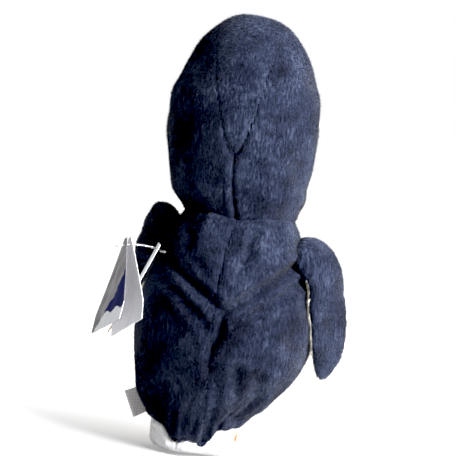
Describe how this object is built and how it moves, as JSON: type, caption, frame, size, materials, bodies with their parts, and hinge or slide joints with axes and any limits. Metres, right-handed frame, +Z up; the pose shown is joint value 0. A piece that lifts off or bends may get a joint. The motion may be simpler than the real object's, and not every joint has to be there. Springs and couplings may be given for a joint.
{
  "type": "plush penguin",
  "caption": "Standing stuffed penguin of short-pile plush, with a gusseted head, sewn flippers and feet, a loose inner bag of pellets, folded hang tag and care label.",
  "frame": {"origin": "centre of the flat base that the toy stands on", "axes": "+Z up along the body, the penguin faces -Y and its left side is +X"},
  "size_m": [0.1282, 0.1183, 0.2303],
  "materials": {
    "navy_plush": "short-pile plush",
    "cream_plush": "short-pile plush",
    "orange_plush": "short-pile plush",
    "orange_felt": "felt",
    "stuffing": "loose fibre",
    "eye_plastic": "gloss",
    "washer_plastic": "matte",
    "bag_cloth": "plain weave",
    "pellet_plastic": "matte",
    "nylon": "translucent",
    "silver_card": "metallised film on card",
    "white_card": "coated card",
    "tan_card": "card",
    "label_ribbon": "satin ribbon"
  },
  "bodies": {
    "torso": {"back_left": "navy_plush", "back_right": "navy_plush", "belly_panel": "cream_plush", "base_panel": "cream_plush", "body_fill": "stuffing", "pellet_bag": "bag_cloth", "pellets": "pellet_plastic"},
    "neck": {"neck_wad": "stuffing"},
    "head": {"crown_gusset": "navy_plush", "head_side_left": "navy_plush", "head_side_right": "navy_plush", "cheek_left": "cream_plush", "cheek_right": "cream_plush", "beak_upper": "orange_felt", "beak_lower": "orange_felt", "beak_fill": "stuffing", "eye_left": "eye_plastic", "eye_right": "eye_plastic", "eye_washer_left": "washer_plastic", "eye_washer_right": "washer_plastic", "head_fill": "stuffing"},
    "flipper_left": {"flipper_left_outer": "navy_plush", "flipper_left_inner": "cream_plush", "flipper_left_fill": "stuffing"},
    "flipper_right": {"flipper_right_outer": "navy_plush", "flipper_right_inner": "cream_plush", "flipper_right_fill": "stuffing"},
    "foot_left": {"foot_left_upper": "orange_plush", "foot_left_sole": "orange_plush", "foot_left_fill": "stuffing"},
    "foot_right": {"foot_right_upper": "orange_plush", "foot_right_sole": "orange_plush", "foot_right_fill": "stuffing"},
    "hang_tag": {"tag_fastener": "nylon", "tag_page": "white_card", "tag_ticket": "tan_card"},
    "tag_front": {"tag_cover": "silver_card"},
    "label": {"care_label": "label_ribbon"}
  },
  "joints": [
    {"name": "neck_turn", "type": "hinge", "parent": "torso", "child": "neck", "pos_m": [0, 0, 0.125], "axis": [0, 0, 1], "range_deg": [-35, 35], "stiffness_Nm_per_rad": 0.15},
    {"name": "head_nod", "type": "hinge", "parent": "neck", "child": "head", "pos_m": [0, 0, 0.125], "axis": [1, 0, 0], "range_deg": [-13, 13], "stiffness_Nm_per_rad": 0.4},
    {"name": "flipper_left_lift", "type": "hinge", "parent": "torso", "child": "flipper_left", "pos_m": [0.042, -0.004, 0.112], "axis": [-0.3869, 0.3633, 0.8475], "range_deg": [0, 65], "stiffness_Nm_per_rad": 0.02},
    {"name": "flipper_right_lift", "type": "hinge", "parent": "torso", "child": "flipper_right", "pos_m": [-0.042, 0.002, 0.1135], "axis": [0.3076, 0.8716, -0.3816], "range_deg": [0, 75], "stiffness_Nm_per_rad": 0.02},
    {"name": "foot_left_lift", "type": "hinge", "parent": "torso", "child": "foot_left", "pos_m": [0.01787, -0.0235, 0.0085], "axis": [-0.9976, -0.0698, 0], "range_deg": [0, 40], "stiffness_Nm_per_rad": 0.01},
    {"name": "foot_right_lift", "type": "hinge", "parent": "torso", "child": "foot_right", "pos_m": [-0.00213, -0.0235, 0.0085], "axis": [-0.9976, 0.0698, 0], "range_deg": [0, 40], "stiffness_Nm_per_rad": 0.01},
    {"name": "tag_swing", "type": "hinge", "parent": "torso", "child": "hang_tag", "pos_m": [0.0319, 0.0151, 0.1036], "axis": [0.5151, -0.8571, 0], "range_deg": [0, 20]},
    {"name": "tag_open", "type": "hinge", "parent": "hang_tag", "child": "tag_front", "pos_m": [0.05002, 0.02517, 0.10683], "axis": [0.6185, -0.6759, -0.4008], "range_deg": [0, 16]},
    {"name": "label_flap", "type": "hinge", "parent": "torso", "child": "label", "pos_m": [0.03825, -0.00644, 0.022], "axis": [0, 0, 1], "range_deg": [-25, 8], "stiffness_Nm_per_rad": 0.0005}
  ]
}
